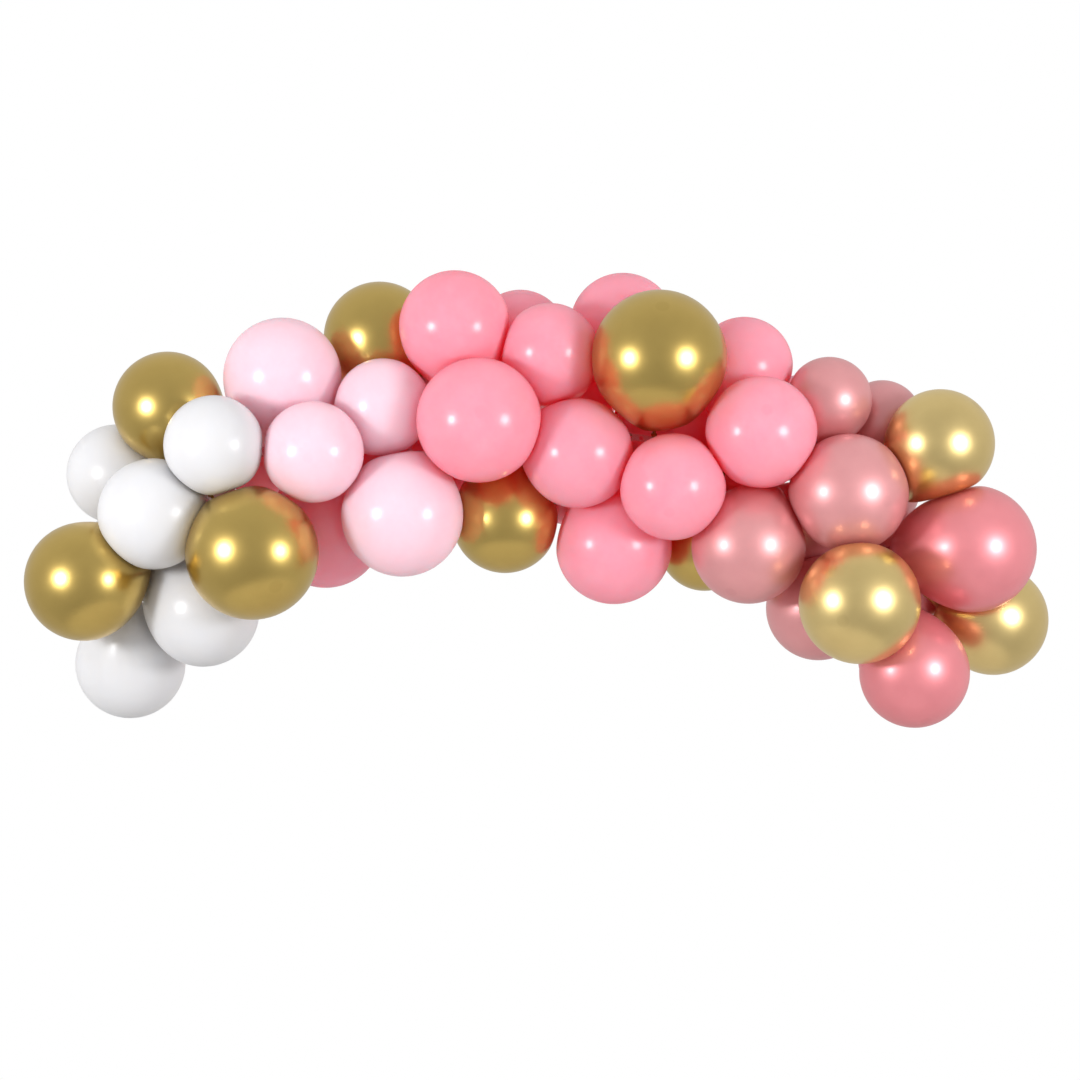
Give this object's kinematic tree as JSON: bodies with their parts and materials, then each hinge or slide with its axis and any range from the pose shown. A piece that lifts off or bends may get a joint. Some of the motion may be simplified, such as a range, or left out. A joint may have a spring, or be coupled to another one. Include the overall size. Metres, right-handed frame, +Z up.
{
  "type": "balloon garland",
  "caption": "Arched garland of latex balloons in white, pinks, mauve and gold, tied by their necks to a clear plastic strip; hangs on a wall by the strip",
  "frame": {"origin": "on the back face of the strip at its crown, where the garland hangs on its middle hook", "axes": "+X to the right as seen from the room, +Y to the wall, +Z up"},
  "size_m": [1.9979, 0.61, 0.8857],
  "materials": {
    "white_latex": "semi-gloss pastel latex",
    "pale_pink_latex": "semi-gloss pastel latex",
    "candy_pink_latex": "semi-gloss pastel latex",
    "mauve_latex": "pearl latex, glossy",
    "rose_latex": "pearl latex, glossy",
    "gold_latex": "chrome-finish latex, mirror-like and soft",
    "clear_strip": "clear flexible plastic"
  },
  "bodies": {
    "root": {"balloon_candy_pink_1": "candy_pink_latex", "balloon_candy_pink_10": "candy_pink_latex", "balloon_candy_pink_11": "candy_pink_latex", "balloon_candy_pink_12": "candy_pink_latex", "balloon_candy_pink_13": "candy_pink_latex", "balloon_candy_pink_14": "candy_pink_latex", "balloon_candy_pink_15": "candy_pink_latex", "balloon_candy_pink_16": "candy_pink_latex", "balloon_candy_pink_17": "candy_pink_latex", "balloon_candy_pink_18": "candy_pink_latex", "balloon_candy_pink_19": "candy_pink_latex", "balloon_candy_pink_2": "candy_pink_latex", "balloon_candy_pink_20": "candy_pink_latex", "balloon_candy_pink_3": "candy_pink_latex", "balloon_candy_pink_4": "candy_pink_latex", "balloon_candy_pink_5": "candy_pink_latex", "balloon_candy_pink_6": "candy_pink_latex", "balloon_candy_pink_7": "candy_pink_latex", "balloon_candy_pink_8": "candy_pink_latex", "balloon_candy_pink_9": "candy_pink_latex", "balloon_gold_1": "gold_latex", "balloon_gold_10": "gold_latex", "balloon_gold_11": "gold_latex", "balloon_gold_12": "gold_latex", "balloon_gold_2": "gold_latex", "balloon_gold_3": "gold_latex", "balloon_gold_4": "gold_latex", "balloon_gold_5": "gold_latex", "balloon_gold_6": "gold_latex", "balloon_gold_7": "gold_latex", "balloon_gold_8": "gold_latex", "balloon_gold_9": "gold_latex", "balloon_mauve_1": "mauve_latex", "balloon_mauve_2": "mauve_latex", "balloon_mauve_3": "mauve_latex", "balloon_mauve_4": "mauve_latex", "balloon_mauve_5": "mauve_latex", "balloon_mauve_6": "mauve_latex", "balloon_mauve_7": "mauve_latex", "balloon_pale_pink_1": "pale_pink_latex", "balloon_pale_pink_2": "pale_pink_latex", "balloon_pale_pink_3": "pale_pink_latex", "balloon_pale_pink_4": "pale_pink_latex", "balloon_pale_pink_5": "pale_pink_latex", "balloon_pale_pink_6": "pale_pink_latex", "balloon_rose_1": "rose_latex", "balloon_rose_2": "rose_latex", "balloon_rose_3": "rose_latex", "balloon_rose_4": "rose_latex", "balloon_white_1": "white_latex", "balloon_white_2": "white_latex", "balloon_white_3": "white_latex", "balloon_white_4": "white_latex", "balloon_white_5": "white_latex", "balloon_white_6": "white_latex", "balloon_white_7": "white_latex", "strip": "clear_strip"}
  },
  "joints": []
}
